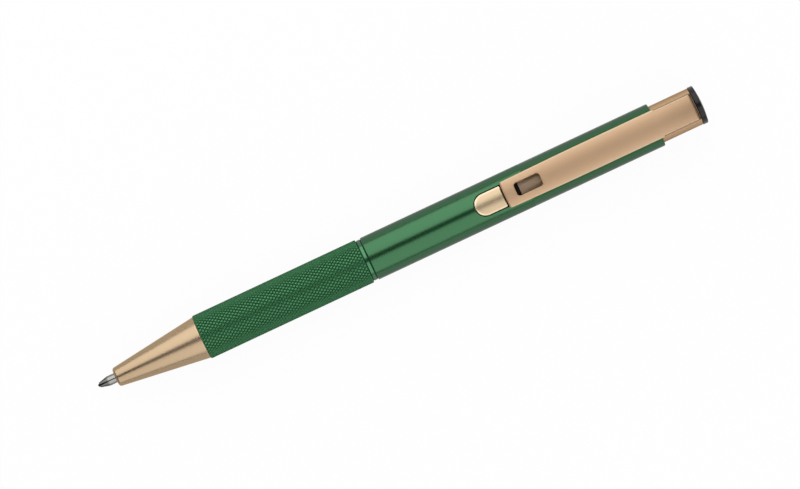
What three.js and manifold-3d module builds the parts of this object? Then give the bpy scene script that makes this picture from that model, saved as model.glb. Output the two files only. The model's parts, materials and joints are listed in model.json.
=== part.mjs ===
// Retractable ball pen: a turned metal barrel with a plunger at its rear that slides forward,
// carrying a pocket clip. A tongue-shaped button on a spring arm latches it in an opening of
// the barrel, and pressing the button lets the spring push the refill back.
// Millimetres. The pen lies along X with its point towards -X and its clip on top, the origin
// is below its middle, on the surface that it lies on.
import * as THREE from 'three';
import { mergeVertices } from 'three/addons/utils/BufferGeometryUtils.js';
import Module from 'manifold-3d';

const wasm = await Module();
wasm.setup();

// Lengths along the pen, from the point to the rear
const POINT_REACH = 4.05;
const NOSE_LENGTH = 20;
const GRIP_LENGTH = 37.7;
const RING_GROOVE = 0.22;
const RING_LENGTH = 0.68;
const BARREL_LENGTH = 66.46;
const PLUNGER_REACH = 9.17;
const CAP_LENGTH = 1.5;

// Outside: the barrel's radius, and how far the other pieces stand above or below it
const BARREL_RADIUS = 4.8;
const BARREL_CHAMFER = 0.1;
const GRIP_RISE = 0.1;
const GRIP_CHAMFER = 0.1;
const RING_DROP = 0.18;
const NOSE_FRONT_RADIUS = 2.05;
const NOSE_RIM_ROUNDING = 0.5;
const NOSE_REAR_STEP = 0.22;
const NOSE_REAR_CHAMFER = 0.08;
const PLUNGER_CHAMFER = 0.2;
const CAP_LIP = 0.12;
const CAP_DOME = 0.4;
const CAP_EDGE_ROUNDING = 0.2;

// How far the point draws back inside the nose
const RETRACT_DEPTH = 1.15;

// Walls, spigots and fits inside
const BARREL_WALL = 0.62;
const GRIP_WALL = 0.85;
const PLUNGER_WALL = 0.6;
const SLIDE_FIT = 0.06;
const SPIGOT_FIT = 0.04;
const NOSE_SPIGOT_LENGTH = 6.5;
const SPIGOT_LEAD = 0.3;
const COUPLER_FRONT_LENGTH = 9;
const COUPLER_REAR_LENGTH = 8;
const COUPLER_FLANGE_DEPTH = 0.1;
const CAP_SPIGOT_LENGTH = 2.4;
const THRUST_PLUG_LENGTH = 8;
const THRUST_PLUG_SETBACK = 9.55;

// Refill
const BALL_RADIUS = 0.35;
const BALL_SEAT_ANGLE = 45;
const SOCKET_WALL = 0.14;
const SOCKET_FIT = 0.02;
const POINT_CONE_LENGTH = 2.45;
const POINT_CONE_BULGE = 0.07;
const POINT_RADIUS = 1.05;
const POINT_LENGTH = 6.5;
const POINT_SPIGOT_RADIUS = 0.7;
const POINT_SPIGOT_LENGTH = 2.2;
const POINT_BORE_FIT = 0.12;
const HOLDER_NECK_CLEARANCE = 1.6;
const HOLDER_SHOULDER_LENGTH = 2;
const HOLDER_SPIGOT_LENGTH = 4;
const HOLDER_INK_BORE = 0.45;
const REFILL_TUBE_RADIUS = 1.45;
const REFILL_TUBE_WALL = 0.25;
const REFILL_PLUG_FLANGE = 1.2;
const REFILL_PLUG_SPIGOT = 3.5;
const INK_END_GAP = 5.5;
const COLLAR_SETBACK = 28;
const COLLAR_LENGTH = 1.2;
const COLLAR_LIP = 0.05;
const COLLAR_CHAMFER = 0.35;
const INNER_FIT = 0.03;

// Return spring
const SPRING_SEAT_DEPTH = 5.45;
const SPRING_WIRE = 0.4;
const SPRING_FIT = 0.2;
const SPRING_TURNS = 11;
const SPRING_END_GAP = 0.05;
const COLLAR_BORE_FIT = 0.2;

// Release button and its arm
const BUTTON_LENGTH = 6.45;
const BUTTON_WIDTH = 4.7;
const BUTTON_CORNER = 0.3;
const BUTTON_GAP = 0.2;
const BUTTON_CLIP_GAP = 0.2;
const ARM_WIDTH = 3;
const ARM_THICKNESS = 0.4;
const ARM_CLEARANCE = 0.1;
const ARM_FRONT_SETBACK = 1;
const ARM_ROOT_DEPTH = 3.3;
const ARM_SWING_CLEARANCE = 0.2;
const BUTTON_RIVET_RADIUS = 0.5;
const BUTTON_RIVET_HEAD_RADIUS = 0.85;
const BUTTON_RIVET_HEAD_HEIGHT = 0.2;
const BUTTON_RIVET_SETBACK = 2.2;
const BUTTON_RIVET_REACH = 1;

// Opening in the barrel
const SLOT_WIDTH = 3.2;

// Clip
const CLIP_LENGTH = 44.1;
const CLIP_CAP_GAP = 0.3;
const CLIP_FRONT_WIDTH = 5.86;
const CLIP_REAR_WIDTH = 6.26;
const CLIP_FLARE_LENGTH = 18.5;
const CLIP_FOOT_WIDTH = 5.8;
const CLIP_LIFT = 0.5;
const CLIP_THICKNESS = 0.95;
const CLIP_CROWN = 0.22;
const CLIP_EDGE_ROUNDING = 0.28;
const CLIP_CORNER = 0.55;
const CLIP_FRONT_DROP = 0.2;
const CLIP_STOP_GAP = 0.25;
const CLIP_SHOULDER = 0.15;
const CLIP_END_SLOPE = 0.75;
const CLIP_END_DROP = 1;
const WINDOW_SETBACK = 2.55;
const WINDOW_LENGTH = 5.85;
const WINDOW_WIDTH = 2.9;
const WINDOW_CORNER = 0.65;
const PLUNGER_SETBACK = 0.95;
const BEAD_SETBACK = 11.7;
const BEAD_LENGTH = 2.4;
const BEAD_WIDTH = 5;
const BEAD_CLEARANCE = 0.1;
const RIVET_RADIUS = 0.6;
const RIVET_HEAD_RADIUS = 1;
const RIVET_HEAD_HEIGHT = 0.5;
const RIVET_REACH = 0.9;
const RIVET_PITCH = 3;
const RIVET_SETBACK = 2;

// Facets
const ROUND_SIDES = 32;
const REFILL_SIDES = 16;
const ARC_STEPS = 4;
const WELD = 1e-5;

// How far cutting solids reach past what they cut
const OVERSHOOT = 1;

// Stations along the pen, counted from the tip of the ball
const noseFront = POINT_REACH;
const noseRear = noseFront + NOSE_LENGTH;
const gripRear = noseRear + GRIP_LENGTH;
const barrelFront = gripRear + RING_LENGTH + 2 * RING_GROOVE;
const barrelRear = barrelFront + BARREL_LENGTH;
const capSeat = barrelRear + PLUNGER_REACH;
const overall = capSeat + CAP_LENGTH;
const stroke = POINT_REACH + RETRACT_DEPTH;
const clipRear = capSeat - CLIP_CAP_GAP;
const clipFront = clipRear - CLIP_LENGTH;
const windowFront = clipFront + WINDOW_SETBACK;
const plungerFront = windowFront + PLUNGER_SETBACK;
const footFront = barrelRear + CLIP_STOP_GAP;
const buttonRear = clipFront - BUTTON_CLIP_GAP;
const buttonFront = buttonRear - BUTTON_LENGTH;
const springSeat = noseFront + SPRING_SEAT_DEPTH;
const plugFront = plungerFront + THRUST_PLUG_SETBACK;
const plugRear = plugFront + THRUST_PLUG_LENGTH;
const armFront = buttonFront + ARM_FRONT_SETBACK;
const armRoot = plugFront + ARM_ROOT_DEPTH;
const buttonRivet = buttonRear - BUTTON_RIVET_SETBACK;
const holderShoulder = springSeat + HOLDER_NECK_CLEARANCE;
const inkTubeFront = holderShoulder + HOLDER_SHOULDER_LENGTH;
const inkTubeRear = plugFront - REFILL_PLUG_FLANGE;
const collarFront = COLLAR_SETBACK;
const rivetStations = [0, 1].map((i) => footFront + RIVET_SETBACK + i * RIVET_PITCH);

// Radii that follow from the walls and fits
const gripRadius = BARREL_RADIUS + GRIP_RISE;
const gripBore = gripRadius - GRIP_WALL;
const spigotRadius = gripBore - SPIGOT_FIT;
const noseRearRadius = gripRadius - NOSE_REAR_STEP;
const ringRadius = BARREL_RADIUS - RING_DROP;
const flangeRadius = ringRadius - COUPLER_FLANGE_DEPTH;
const barrelBore = BARREL_RADIUS - BARREL_WALL;
const plungerRadius = barrelBore - SLIDE_FIT;
const plungerBore = plungerRadius - PLUNGER_WALL;
const capRadius = plungerRadius + CAP_LIP;
const springRadius = REFILL_TUBE_RADIUS + SPRING_FIT + SPRING_WIRE / 2;
const collarRadius = springRadius + SPRING_WIRE / 2 + COLLAR_LIP;
const springBore = collarRadius + COLLAR_BORE_FIT;
const pointBore = POINT_RADIUS + POINT_BORE_FIT;
const refillBore = REFILL_TUBE_RADIUS - REFILL_TUBE_WALL;
const socketFloor = BALL_RADIUS * (1 + Math.cos(THREE.MathUtils.degToRad(BALL_SEAT_ANGLE)));
const clipUnder = BARREL_RADIUS + CLIP_LIFT;
const clipTop = clipUnder + CLIP_THICKNESS;
const armTop = Math.sqrt((plungerBore - ARM_CLEARANCE) ** 2 - (ARM_WIDTH / 2) ** 2);
const armBottom = armTop - ARM_THICKNESS;
const rivetHeadTop = Math.sqrt(plungerBore ** 2 - RIVET_HEAD_RADIUS ** 2) - INNER_FIT;

const pen = new THREE.Group();
pen.position.set(-overall / 2, 0, gripRadius);

// Finishes, one for each kind of surface
function finish(color, roughness, metalness) {
  return new THREE.MeshStandardMaterial({ color, roughness, metalness });
}

const satinGold = finish(0xd6b896, 0.38, 1);
const matteRoseGold = finish(0xb8946f, 0.5, 1);
const polishedGold = finish(0xe8d0ae, 0.18, 1);
const knurledGreen = finish(0x2f5c3b, 0.5, 0.8);
const satinGreen = finish(0x4a7a56, 0.36, 0.85);
const plainBrass = finish(0xb99a5b, 0.35, 1);
const plainSteel = finish(0xb4b4b2, 0.28, 1);
const tungstenGrey = finish(0x2a2a2c, 0.25, 1);
const glossBlack = finish(0x141416, 0.2, 0);
const blueInk = finish(0x101a4a, 0.3, 0);

function addPiece(name, geometry, material) {
  const piece = new THREE.Mesh(geometry, material);
  piece.name = name;
  pen.add(piece);
}

// A turned piece about the pen's axis. The outline lists [x, radius] points from the front
// over the outside to the rear, and its flats lie at those radii, one of them facing down.
function turned(outline, sides = ROUND_SIDES) {
  const toCorner = 1 / Math.cos(Math.PI / sides);
  const points = outline.map(([x, radius]) => new THREE.Vector2(radius * toCorner, x));
  return new THREE.LatheGeometry(points, sides, Math.PI / sides).rotateZ(-Math.PI / 2);
}

// The same, for a piece with a bore: the outline comes back along the bore and closes
function turnedTube(outline, sides = ROUND_SIDES) {
  return turned([...outline, outline[0]], sides);
}

// Points [x, radius] of an arc about (x, radius), from one angle to another in degrees
function arc(x, radius, size, from, to, steps = ARC_STEPS) {
  return Array.from({ length: steps + 1 }, (unused, i) => {
    const angle = THREE.MathUtils.degToRad(from + ((to - from) * i) / steps);
    return [x + size * Math.cos(angle), radius + size * Math.sin(angle)];
  });
}

// A shape in the plan, extruded upwards between two heights above the pen's axis
function upright(shape, low, high, curveSegments = 2) {
  const settings = { depth: high - low, bevelEnabled: false, curveSegments };
  return new THREE.ExtrudeGeometry(shape, settings).translate(0, 0, low);
}

// A round pin that stands upright at a station on the pen's top line
function uprightPin(x, radius, low, high) {
  const shape = new THREE.Shape().absarc(x, 0, radius, 0, 2 * Math.PI);
  return upright(shape, low, high, ARC_STEPS);
}

// A block between two stations, with its width across the pen
function block(from, to, width, low, high) {
  const geometry = new THREE.BoxGeometry(to - from, width, high - low);
  return geometry.translate((from + to) / 2, 0, (low + high) / 2);
}

// A plain cylinder about the pen's axis, reaching past both stations, for cutting
function cylinderAlong(from, to, radius) {
  const front = from - OVERSHOOT;
  const rear = to + OVERSHOOT;
  return turned([[front, 0], [front, radius], [rear, radius], [rear, 0]]);
}

// A rounded rectangle in the plan, with one corner radius in front and one at the rear
function roundedPlan(from, to, width, frontCorner, rearCorner) {
  const half = width / 2;
  const shape = new THREE.Shape();
  shape.absarc(to - rearCorner, -half + rearCorner, rearCorner, -Math.PI / 2, 0);
  shape.absarc(to - rearCorner, half - rearCorner, rearCorner, 0, Math.PI / 2);
  shape.absarc(from + frontCorner, half - frontCorner, frontCorner, Math.PI / 2, Math.PI);
  shape.absarc(from + frontCorner, -half + frontCorner, frontCorner, Math.PI, 1.5 * Math.PI);
  shape.closePath();
  return shape;
}

// A solid for cutting and joining, from a closed geometry
function toSolid(geometry) {
  const bare = geometry.clone();
  bare.deleteAttribute('normal');
  bare.deleteAttribute('uv');
  const welded = mergeVertices(bare, WELD);
  const corners = Array.from(welded.index.array);
  const triangles = [];
  for (let i = 0; i < corners.length; i += 3) {
    const triangle = corners.slice(i, i + 3);
    if (new Set(triangle).size === 3) {
      triangles.push(...triangle);
    }
  }
  const vertProperties = Float32Array.from(welded.attributes.position.array);
  const triVerts = Uint32Array.from(triangles);
  return new wasm.Manifold(new wasm.Mesh({ numProp: 3, vertProperties, triVerts }));
}

function toGeometry(solid) {
  const mesh = solid.getMesh();
  const geometry = new THREE.BufferGeometry();
  geometry.setAttribute('position', new THREE.BufferAttribute(mesh.vertProperties, 3));
  geometry.setIndex(new THREE.BufferAttribute(mesh.triVerts, 1));
  geometry.computeVertexNormals();
  return geometry;
}

// A closed skin over a row of rings that all have the same number of points
function loft(rings) {
  const count = rings[0].length;
  const positions = rings.flat().flatMap((point) => point.toArray());
  const triangles = [];
  for (let ring = 0; ring + 1 < rings.length; ring += 1) {
    for (let i = 0; i < count; i += 1) {
      const a = ring * count + i;
      const b = ring * count + ((i + 1) % count);
      triangles.push(a, b, a + count, b, b + count, a + count);
    }
  }
  const last = (rings.length - 1) * count;
  for (let i = 1; i + 1 < count; i += 1) {
    triangles.push(0, i + 1, i);
    triangles.push(last, last + i, last + i + 1);
  }
  const geometry = new THREE.BufferGeometry();
  geometry.setAttribute('position', new THREE.Float32BufferAttribute(positions, 3));
  geometry.setIndex(triangles);
  return geometry;
}

// Ball of the refill, seated on the floor of its socket
function writingBall() {
  const outline = arc(BALL_RADIUS, 0, BALL_RADIUS, 180, BALL_SEAT_ANGLE, 2 * ARC_STEPS);
  outline[0] = [0, 0];
  return turned([...outline, [socketFloor, 0]], REFILL_SIDES);
}

// Steel point: a slightly bulging cone with the ball's socket in front, a neck and a spigot
function pointBody() {
  const socketRadius = BALL_RADIUS + SOCKET_FIT;
  const lipRadius = socketRadius + SOCKET_WALL;
  const lip = BALL_RADIUS;
  const cone = [0, 1, 2, 3].map((step) => {
    const share = step / 3;
    const bulge = 4 * POINT_CONE_BULGE * share * (1 - share);
    const radius = lipRadius + (POINT_RADIUS - lipRadius) * share + bulge;
    return [lip + (POINT_CONE_LENGTH - lip) * share, radius];
  });
  const rear = POINT_LENGTH + POINT_SPIGOT_LENGTH;
  return turned([
    [socketFloor, 0],
    [socketFloor, socketRadius],
    [lip, socketRadius],
    ...cone,
    [POINT_LENGTH, POINT_RADIUS],
    [POINT_LENGTH, POINT_SPIGOT_RADIUS],
    [rear, POINT_SPIGOT_RADIUS],
    [rear, 0],
  ], REFILL_SIDES);
}

// Brass holder that joins the point to the ink tube
function pointHolder() {
  const socket = POINT_LENGTH + POINT_SPIGOT_LENGTH + INNER_FIT;
  const rear = inkTubeFront + HOLDER_SPIGOT_LENGTH;
  const spigot = refillBore - INNER_FIT;
  return turnedTube([
    [POINT_LENGTH, POINT_SPIGOT_RADIUS + INNER_FIT],
    [POINT_LENGTH, POINT_RADIUS],
    [holderShoulder, POINT_RADIUS],
    [holderShoulder + (REFILL_TUBE_RADIUS - POINT_RADIUS), REFILL_TUBE_RADIUS],
    [inkTubeFront, REFILL_TUBE_RADIUS],
    [inkTubeFront, spigot],
    [rear, spigot],
    [rear, HOLDER_INK_BORE],
    [socket, HOLDER_INK_BORE],
    [socket, POINT_SPIGOT_RADIUS + INNER_FIT],
  ], REFILL_SIDES);
}

// Brass ink tube
function refillTube() {
  return turnedTube([
    [inkTubeFront, refillBore],
    [inkTubeFront, REFILL_TUBE_RADIUS],
    [inkTubeRear, REFILL_TUBE_RADIUS],
    [inkTubeRear, refillBore],
  ], REFILL_SIDES);
}

// Collar on the ink tube that the return spring pushes on
function refillCollar() {
  const bore = REFILL_TUBE_RADIUS + INNER_FIT;
  const rear = collarFront + COLLAR_LENGTH;
  return turnedTube([
    [collarFront, bore],
    [collarFront, collarRadius],
    [rear - COLLAR_CHAMFER, collarRadius],
    [rear, collarRadius - COLLAR_CHAMFER],
    [rear, bore],
  ], REFILL_SIDES);
}

// Ink that fills the tube behind the holder
function inkColumn() {
  const front = inkTubeFront + HOLDER_SPIGOT_LENGTH + INNER_FIT;
  const rear = inkTubeRear - REFILL_PLUG_SPIGOT - INK_END_GAP;
  const radius = refillBore - INNER_FIT;
  return turned([
    [front, 0],
    [front, radius],
    [rear, radius],
    [rear, 0],
  ], REFILL_SIDES);
}

// Plug in the rear end of the ink tube, which the thrust plug pushes on
function refillEndPlug() {
  const radius = refillBore - INNER_FIT;
  const front = inkTubeRear - REFILL_PLUG_SPIGOT;
  return turned([
    [front, 0],
    [front, radius],
    [inkTubeRear, radius],
    [inkTubeRear, REFILL_TUBE_RADIUS],
    [plugFront, REFILL_TUBE_RADIUS],
    [plugFront, 0],
  ], REFILL_SIDES);
}

// Nose: a straight cone with a rounded front rim, the spring's seat inside and a spigot
function noseCone() {
  const slope = (noseRearRadius - NOSE_FRONT_RADIUS) / NOSE_LENGTH;
  const rimRadius = NOSE_FRONT_RADIUS - NOSE_RIM_ROUNDING;
  const rim = arc(noseFront + NOSE_RIM_ROUNDING, rimRadius, NOSE_RIM_ROUNDING, 180, 90);
  const spigotRear = noseRear + NOSE_SPIGOT_LENGTH;
  return turnedTube([
    [noseFront, pointBore],
    ...rim,
    [noseRear - NOSE_REAR_CHAMFER, noseRearRadius - NOSE_REAR_CHAMFER * slope],
    [noseRear, noseRearRadius - NOSE_REAR_CHAMFER],
    [noseRear, spigotRadius],
    [spigotRear - SPIGOT_LEAD, spigotRadius],
    [spigotRear, spigotRadius - SPIGOT_LEAD],
    [spigotRear, springBore],
    [springSeat, springBore],
    [springSeat, pointBore],
  ]);
}

// Grip: a sleeve with chamfered ends
function gripSleeve() {
  return turnedTube([
    [noseRear, gripBore],
    [noseRear, gripRadius - GRIP_CHAMFER],
    [noseRear + GRIP_CHAMFER, gripRadius],
    [gripRear - GRIP_CHAMFER, gripRadius],
    [gripRear, gripRadius - GRIP_CHAMFER],
    [gripRear, gripBore],
  ]);
}

// Ring between the two halves of the barrel, with a groove at each side
function centreRing() {
  const front = gripRear + RING_GROOVE;
  const rear = front + RING_LENGTH;
  return turnedTube([
    [front, flangeRadius + INNER_FIT],
    [front, ringRadius],
    [rear, ringRadius],
    [rear, flangeRadius + INNER_FIT],
  ]);
}

// Coupler that joins the grip to the upper barrel and guides the refill
function barrelCoupler() {
  const front = gripRear - COUPLER_FRONT_LENGTH;
  const rear = barrelFront + COUPLER_REAR_LENGTH;
  const rearRadius = barrelBore - SPIGOT_FIT;
  return turnedTube([
    [front, springBore],
    [front, spigotRadius - SPIGOT_LEAD],
    [front + SPIGOT_LEAD, spigotRadius],
    [gripRear, spigotRadius],
    [gripRear, flangeRadius],
    [barrelFront, flangeRadius],
    [barrelFront, rearRadius],
    [rear - SPIGOT_LEAD, rearRadius],
    [rear, rearRadius - SPIGOT_LEAD],
    [rear, springBore],
  ]);
}

// Upper barrel: a tube with the button's opening, rounded in front, that runs on under the
// clip by the plunger's stroke and then as a narrower slot to the rear end
function upperBarrel() {
  const tube = turnedTube([
    [barrelFront, barrelBore],
    [barrelFront, BARREL_RADIUS - BARREL_CHAMFER],
    [barrelFront + BARREL_CHAMFER, BARREL_RADIUS],
    [barrelRear - BARREL_CHAMFER, BARREL_RADIUS],
    [barrelRear, BARREL_RADIUS - BARREL_CHAMFER],
    [barrelRear, barrelBore],
  ]);
  const width = BUTTON_WIDTH + 2 * BUTTON_GAP;
  const front = buttonFront - BUTTON_GAP;
  const rear = buttonRear + stroke + BUTTON_CLIP_GAP;
  const opening = roundedPlan(front, rear, width, width / 2, BUTTON_CORNER);
  const slot = block(rear - BUTTON_GAP, barrelRear + OVERSHOOT, SLOT_WIDTH, 0, 2 * BARREL_RADIUS);
  const cutter = toSolid(upright(opening, 0, 2 * BARREL_RADIUS, ARC_STEPS)).add(toSolid(slot));
  return toGeometry(toSolid(tube).subtract(cutter));
}

// Return spring: one wire wound as a helix round the refill, from the seat to the collar
class Helix extends THREE.Curve {
  getPoint(t, target = new THREE.Vector3()) {
    const from = springSeat + SPRING_WIRE / 2 + SPRING_END_GAP;
    const to = collarFront - SPRING_WIRE / 2 - SPRING_END_GAP;
    const angle = 2 * Math.PI * SPRING_TURNS * t;
    const y = springRadius * Math.cos(angle);
    const z = springRadius * Math.sin(angle);
    return target.set(from + (to - from) * t, y, z);
  }
}

function returnSpring() {
  const stepsPerTurn = 8;
  const sides = 5;
  const steps = SPRING_TURNS * stepsPerTurn;
  const helix = new Helix();
  const rings = [];
  for (let step = 0; step <= steps; step += 1) {
    const centre = helix.getPoint(step / steps);
    const outward = new THREE.Vector3(0, centre.y, centre.z).normalize();
    const along = helix.getTangent(step / steps);
    const across = new THREE.Vector3().crossVectors(along, outward).normalize();
    const ring = [];
    for (let side = 0; side < sides; side += 1) {
      const angle = (2 * Math.PI * side) / sides;
      const point = centre.clone();
      point.addScaledVector(outward, (SPRING_WIRE / 2) * Math.cos(angle));
      point.addScaledVector(across, (SPRING_WIRE / 2) * Math.sin(angle));
      ring.push(point);
    }
    rings.push(ring);
  }
  return loft(rings);
}

// Least gap of the spring's wire to itself, measured on points of neighbouring turns
function springGap() {
  const helix = new Helix();
  const pointsPerTurn = 24;
  const points = helix.getPoints(SPRING_TURNS * pointsPerTurn);
  let least = Infinity;
  points.forEach((point, i) => {
    points.slice(i + pointsPerTurn / 2).forEach((other) => {
      least = Math.min(least, point.distanceTo(other) - SPRING_WIRE);
    });
  });
  return least;
}

// Plunger: a tube that slides in the barrel and shows behind it, drilled for the clip's rivets
function plungerBody() {
  const tube = turnedTube([
    [plungerFront, plungerBore],
    [plungerFront, plungerRadius - PLUNGER_CHAMFER],
    [plungerFront + PLUNGER_CHAMFER, plungerRadius],
    [capSeat - PLUNGER_CHAMFER, plungerRadius],
    [capSeat, plungerRadius - PLUNGER_CHAMFER],
    [capSeat, plungerBore],
  ]);
  const holes = rivetStations.map((x) => {
    return toSolid(uprightPin(x, RIVET_RADIUS + INNER_FIT, 0, clipTop));
  });
  return toGeometry(holes.reduce((solid, hole) => solid.subtract(hole), toSolid(tube)));
}

// Thrust plug inside the plunger, which pushes the refill and holds the arm's root
function thrustPlug() {
  const radius = plungerBore - SPIGOT_FIT;
  const plug = turned([
    [plugFront, 0],
    [plugFront, radius],
    [plugRear, radius],
    [plugRear, 0],
  ]);
  const floor = armBottom - ARM_SWING_CLEARANCE;
  const width = ARM_WIDTH + 2 * ARM_CLEARANCE;
  const groove = block(plugFront - OVERSHOOT, armRoot + ARM_CLEARANCE, width, floor, 2 * radius);
  return toGeometry(toSolid(plug).subtract(toSolid(groove)));
}

// Rivet that holds the clip's foot, with its head inside the plunger
function clipRivet(x) {
  const low = rivetHeadTop - RIVET_HEAD_HEIGHT;
  const head = toSolid(uprightPin(x, RIVET_HEAD_RADIUS, low, rivetHeadTop));
  const shank = toSolid(uprightPin(x, RIVET_RADIUS, low, plungerRadius + RIVET_REACH));
  return toGeometry(head.add(shank));
}

// Ring of the clip at one station: flat below, with rounded edges and a crowned top
function clipRing(x, halfWidth, under, top) {
  const shoulder = top - CLIP_CROWN - CLIP_EDGE_ROUNDING;
  const edge = arc(halfWidth - CLIP_EDGE_ROUNDING, shoulder, CLIP_EDGE_ROUNDING, 0, 90, 3);
  const right = [[halfWidth, under], ...edge, [halfWidth / 2, top - CLIP_CROWN / 4]];
  const left = right.map(([y, z]) => [-y, z]).reverse();
  return [...right, [0, top], ...left].map(([y, z]) => new THREE.Vector3(x, y, z));
}

// Clip: a crowned plate with a window, free in front, and a foot behind the barrel that
// straddles the plunger. A bead under the plate holds cloth against the barrel.
function clip() {
  const frontHalf = CLIP_FRONT_WIDTH / 2;
  const footHalf = CLIP_FOOT_WIDTH / 2;
  const crease = Math.sqrt(plungerRadius ** 2 - footHalf ** 2);
  const footUnder = crease - CLIP_LIFT;
  const corner = arc(clipFront + CLIP_CORNER, 0, CLIP_CORNER, 180, 90).map(([x, rise]) => {
    const missing = CLIP_CORNER - rise;
    const drop = CLIP_FRONT_DROP * (missing / CLIP_CORNER);
    return clipRing(x, frontHalf - missing, clipUnder, clipTop - drop);
  });
  const plate = toSolid(loft([
    ...corner,
    clipRing(clipFront + CLIP_FLARE_LENGTH, CLIP_REAR_WIDTH / 2, clipUnder, clipTop),
    clipRing(footFront, CLIP_REAR_WIDTH / 2, clipUnder, clipTop),
    clipRing(footFront + CLIP_SHOULDER, footHalf, footUnder, clipTop),
    clipRing(clipRear - CLIP_END_SLOPE, footHalf, footUnder, clipTop),
    clipRing(clipRear, footHalf, footUnder, clipTop - CLIP_END_DROP),
  ]));
  const windowPlan = roundedPlan(
    windowFront, windowFront + WINDOW_LENGTH, WINDOW_WIDTH, WINDOW_CORNER, WINDOW_CORNER);
  const windowCut = toSolid(upright(windowPlan, 0, 2 * clipTop));
  const saddle = toSolid(cylinderAlong(footFront, clipRear, plungerRadius + INNER_FIT));
  const holes = rivetStations.map((x) => {
    const top = plungerRadius + RIVET_REACH + INNER_FIT;
    return toSolid(uprightPin(x, RIVET_RADIUS + INNER_FIT, 0, top));
  });
  const cuts = [windowCut, saddle, ...holes];
  return toGeometry(cuts.reduce((solid, cut) => solid.subtract(cut), plate.add(clipBead())));
}

// Bead under the clip: a bar with sloping ends, hollowed to the barrel's curve
function clipBead() {
  const front = clipFront + BEAD_SETBACK;
  const rear = front + BEAD_LENGTH;
  const top = clipUnder + CLIP_THICKNESS / 3;
  const low = BARREL_RADIUS - CLIP_LIFT;
  const slope = (top - low) / 2;
  const side = new THREE.Shape([
    new THREE.Vector2(front, top),
    new THREE.Vector2(front + slope, low),
    new THREE.Vector2(rear - slope, low),
    new THREE.Vector2(rear, top),
  ]);
  const bar = new THREE.ExtrudeGeometry(side, { depth: BEAD_WIDTH, bevelEnabled: false });
  bar.translate(0, 0, -BEAD_WIDTH / 2).rotateX(Math.PI / 2);
  const hollow = cylinderAlong(front, rear, BARREL_RADIUS + BEAD_CLEARANCE);
  return toSolid(bar).subtract(toSolid(hollow));
}

// Cap in the plunger's rear end: a disc with a slight dome and a spigot
function endCap() {
  const spigot = plungerBore - SPIGOT_FIT;
  const front = capSeat - CAP_SPIGOT_LENGTH;
  const rim = capRadius - CAP_EDGE_ROUNDING;
  const edge = arc(overall - CAP_DOME - CAP_EDGE_ROUNDING, rim, CAP_EDGE_ROUNDING, 90, 0, 2);
  const dome = [2, 1, 0].map((step) => [overall - CAP_DOME * (step / 3) ** 2, (rim * step) / 3]);
  return turned([
    [front, 0],
    [front, spigot],
    [capSeat, spigot],
    [capSeat, capRadius],
    ...edge,
    ...dome,
  ]);
}

// Spring arm of the release button: a strip from the button back to its root in the thrust plug
function latchArm() {
  const strip = toSolid(block(armFront, armRoot, ARM_WIDTH, armBottom, armTop));
  const hole = toSolid(uprightPin(buttonRivet, BUTTON_RIVET_RADIUS + INNER_FIT, 0, clipTop));
  return toGeometry(strip.subtract(hole));
}

// Release button: a tongue with a round front end and a top that continues the barrel's curve
function releaseButton() {
  const plan = roundedPlan(
    buttonFront, buttonRear, BUTTON_WIDTH, BUTTON_WIDTH / 2, BUTTON_CORNER);
  const tongue = toSolid(upright(plan, armTop, 2 * BARREL_RADIUS, ARC_STEPS));
  const skin = toSolid(cylinderAlong(buttonFront, buttonRear, BARREL_RADIUS));
  const top = armTop + BUTTON_RIVET_REACH + INNER_FIT;
  const hole = toSolid(uprightPin(buttonRivet, BUTTON_RIVET_RADIUS + INNER_FIT, 0, top));
  return toGeometry(tongue.intersect(skin).subtract(hole));
}

// Rivet that holds the button on its arm, with its head under the arm
function buttonRivetPin() {
  const low = armBottom - BUTTON_RIVET_HEAD_HEIGHT;
  const head = toSolid(uprightPin(buttonRivet, BUTTON_RIVET_HEAD_RADIUS, low, armBottom));
  const top = armTop + BUTTON_RIVET_REACH;
  return toGeometry(head.add(toSolid(uprightPin(buttonRivet, BUTTON_RIVET_RADIUS, low, top))));
}

// The refill
addPiece('writing_ball', writingBall(), tungstenGrey);
addPiece('point_body', pointBody(), plainSteel);
addPiece('point_holder', pointHolder(), plainBrass);
addPiece('refill_tube', refillTube(), plainBrass);
addPiece('refill_collar', refillCollar(), plainBrass);
addPiece('ink_column', inkColumn(), blueInk);
addPiece('refill_end_plug', refillEndPlug(), glossBlack);

// The barrel
addPiece('nose_cone', noseCone(), satinGold);
addPiece('grip_sleeve', gripSleeve(), knurledGreen);
addPiece('centre_ring', centreRing(), satinGreen);
addPiece('barrel_coupler', barrelCoupler(), satinGreen);
addPiece('upper_barrel', upperBarrel(), satinGreen);
addPiece('return_spring', returnSpring(), plainSteel);

// The plunger
addPiece('plunger_body', plungerBody(), matteRoseGold);
addPiece('thrust_plug', thrustPlug(), glossBlack);
addPiece('clip', clip(), matteRoseGold);
rivetStations.forEach((x, i) => addPiece(`clip_rivet_${i + 1}`, clipRivet(x), plainSteel));
addPiece('end_cap', endCap(), glossBlack);

// The release button
addPiece('latch_arm', latchArm(), plainSteel);
addPiece('release_button', releaseButton(), polishedGold);
addPiece('button_rivet', buttonRivetPin(), plainSteel);

console.log(`least gap of the return spring to itself: ${springGap().toFixed(2)} mm`);

export default pen;
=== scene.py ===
import json
import math

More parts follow.
